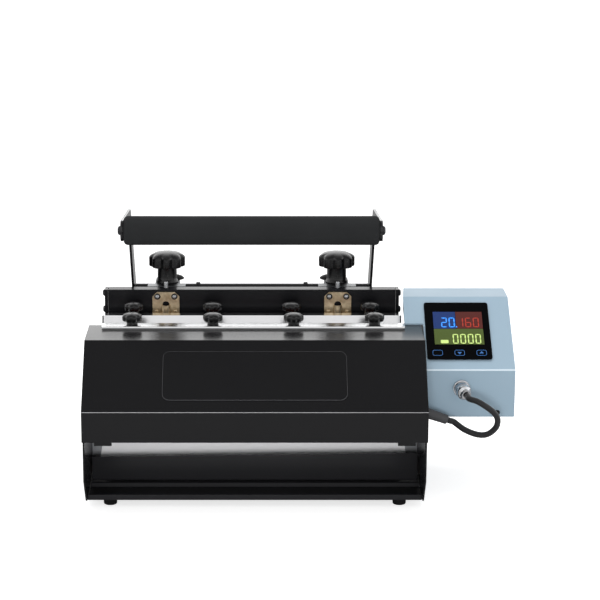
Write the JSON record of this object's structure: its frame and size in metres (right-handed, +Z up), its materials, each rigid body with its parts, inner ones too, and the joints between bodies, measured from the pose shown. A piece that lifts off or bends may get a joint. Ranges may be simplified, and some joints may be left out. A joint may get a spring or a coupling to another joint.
{
  "type": "mug heat press",
  "caption": "Tumbler heat press: flexible heated trough in a low steel base, swinging clamp beam, full-width lever handle with toggle links, and a side control box.",
  "frame": {"origin": "middle of the footprint of the box around the machine, on the surface it stands on", "axes": "+X to the user's right along the trough, +Y away from the user, +Z up; the user stands at -Y"},
  "size_m": [0.496, 0.3, 0.3369],
  "materials": {
    "black_paint": "satin black powder coat",
    "box_paint": "pale blue-grey powder coat",
    "polished_steel": "polished stainless strip",
    "grey_steel": "zinc-plated steel",
    "yellow_zinc": "yellow-passivated zinc plate on steel",
    "connector_chrome": "bright chrome plate",
    "knob_plastic": "moulded black nylon",
    "black_plastic": "fine-textured black moulding",
    "glass_black": "gloss black front sheet",
    "grip_foam": "closed-cell foam sleeve",
    "black_rubber": "matte rubber",
    "silicone_pad": "smooth silicone heating mat"
  },
  "bodies": {
    "frame": {"base_tray": "black_paint", "left_side_plate": "black_paint", "right_side_plate": "black_paint", "rear_panel": "black_paint", "front_cover": "black_paint", "name_panel": "black_paint", "beam_shaft": "grey_steel", "link_shaft": "grey_steel", "front_left_foot": "black_rubber", "front_right_foot": "black_rubber", "rear_left_foot": "black_rubber", "rear_right_foot": "black_rubber", "front_clamp_bar": "polished_steel", "heat_shield": "polished_steel", "heater_band": "polished_steel", "heater_pad": "silicone_pad", "control_box": "box_paint", "box_back_plate": "box_paint", "power_inlet": "black_plastic", "switch_frame": "black_plastic", "controller_bezel": "glass_black", "display_window": "glass_black", "cable_socket": "connector_chrome", "cable_plug": "connector_chrome", "heater_cable": "black_rubber", "cable_sleeve": "black_rubber"},
    "beam": {"press_beam": "black_paint", "left_swing_arm": "black_paint", "right_swing_arm": "black_paint", "left_guide_bracket": "yellow_zinc", "right_guide_bracket": "yellow_zinc", "left_knob_carrier": "grey_steel", "right_knob_carrier": "grey_steel", "rear_clamp_bar": "polished_steel"},
    "handle": {"left_handle_arm": "black_paint", "right_handle_arm": "black_paint", "handle_cross_tube": "black_paint", "left_crank": "black_paint", "right_crank": "black_paint", "grip_sleeve": "grip_foam", "grip_rod": "grey_steel"},
    "links": {"left_toggle_link": "grey_steel", "right_toggle_link": "grey_steel"},
    "rocker": {"rocker_switch": "black_plastic"},
    "front_clamp_knob_1": {"front_clamp_knob_1": "knob_plastic"},
    "rear_clamp_knob_1": {"rear_clamp_knob_1": "knob_plastic"},
    "front_clamp_knob_2": {"front_clamp_knob_2": "knob_plastic"},
    "rear_clamp_knob_2": {"rear_clamp_knob_2": "knob_plastic"},
    "front_clamp_knob_3": {"front_clamp_knob_3": "knob_plastic"},
    "rear_clamp_knob_3": {"rear_clamp_knob_3": "knob_plastic"},
    "front_clamp_knob_4": {"front_clamp_knob_4": "knob_plastic"},
    "rear_clamp_knob_4": {"rear_clamp_knob_4": "knob_plastic"},
    "left_pressure_knob": {"left_pressure_knob": "knob_plastic"},
    "right_pressure_knob": {"right_pressure_knob": "knob_plastic"}
  },
  "joints": [
    {"name": "beam_swing", "type": "hinge", "parent": "frame", "child": "beam", "pos_m": [-0.0566, 0.095, 0.048], "axis": [-1, 0, 0], "range_deg": [0, 20], "deforming": ["heater_band", "heater_pad"]},
    {"name": "handle_lift", "type": "hinge", "parent": "beam", "child": "handle", "pos_m": [-0.0566, 0.116, 0.2], "axis": [-1, 0, 0], "range_deg": [0, 51]},
    {"name": "link_turn", "type": "hinge", "parent": "frame", "child": "links", "pos_m": [-0.0566, 0.133, 0.095], "axis": [-1, 0, 0], "range_deg": [0, 17.1]},
    {"name": "rocker_press", "type": "hinge", "parent": "frame", "child": "rocker", "pos_m": [0.21998, 0.07035, 0.13648], "axis": [1, 0, 0], "range_deg": [-12, 0]},
    {"name": "front_clamp_turn_1", "type": "hinge", "parent": "frame", "child": "front_clamp_knob_1", "pos_m": [-0.19685, -0.02485, 0.2], "axis": [0, 0, 1], "continuous": true},
    {"name": "rear_clamp_turn_1", "type": "hinge", "parent": "beam", "child": "rear_clamp_knob_1", "pos_m": [-0.19865, 0.03675, 0.19], "axis": [0, 0, 1], "continuous": true},
    {"name": "front_clamp_turn_2", "type": "hinge", "parent": "frame", "child": "front_clamp_knob_2", "pos_m": [-0.10215, -0.02485, 0.2], "axis": [0, 0, 1], "continuous": true},
    {"name": "rear_clamp_turn_2", "type": "hinge", "parent": "beam", "child": "rear_clamp_knob_2", "pos_m": [-0.10395, 0.03675, 0.19], "axis": [0, 0, 1], "continuous": true},
    {"name": "front_clamp_turn_3", "type": "hinge", "parent": "frame", "child": "front_clamp_knob_3", "pos_m": [-0.00745, -0.02485, 0.2], "axis": [0, 0, 1], "continuous": true},
    {"name": "rear_clamp_turn_3", "type": "hinge", "parent": "beam", "child": "rear_clamp_knob_3", "pos_m": [-0.00925, 0.03675, 0.19], "axis": [0, 0, 1], "continuous": true},
    {"name": "front_clamp_turn_4", "type": "hinge", "parent": "frame", "child": "front_clamp_knob_4", "pos_m": [0.08725, -0.02485, 0.2], "axis": [0, 0, 1], "continuous": true},
    {"name": "rear_clamp_turn_4", "type": "hinge", "parent": "beam", "child": "rear_clamp_knob_4", "pos_m": [0.08545, 0.03675, 0.19], "axis": [0, 0, 1], "continuous": true},
    {"name": "left_pressure_turn", "type": "hinge", "parent": "beam", "child": "left_pressure_knob", "pos_m": [-0.1606, 0.099, 0.23], "axis": [0, 0, 1], "continuous": true},
    {"name": "right_pressure_turn", "type": "hinge", "parent": "beam", "child": "right_pressure_knob", "pos_m": [0.0474, 0.099, 0.23], "axis": [0, 0, 1], "continuous": true}
  ],
  "couplings": [
    {"joint": "beam_swing", "follows": "handle_lift", "ratio": 0.392},
    {"joint": "link_turn", "follows": "handle_lift", "ratio": 0.335}
  ]
}
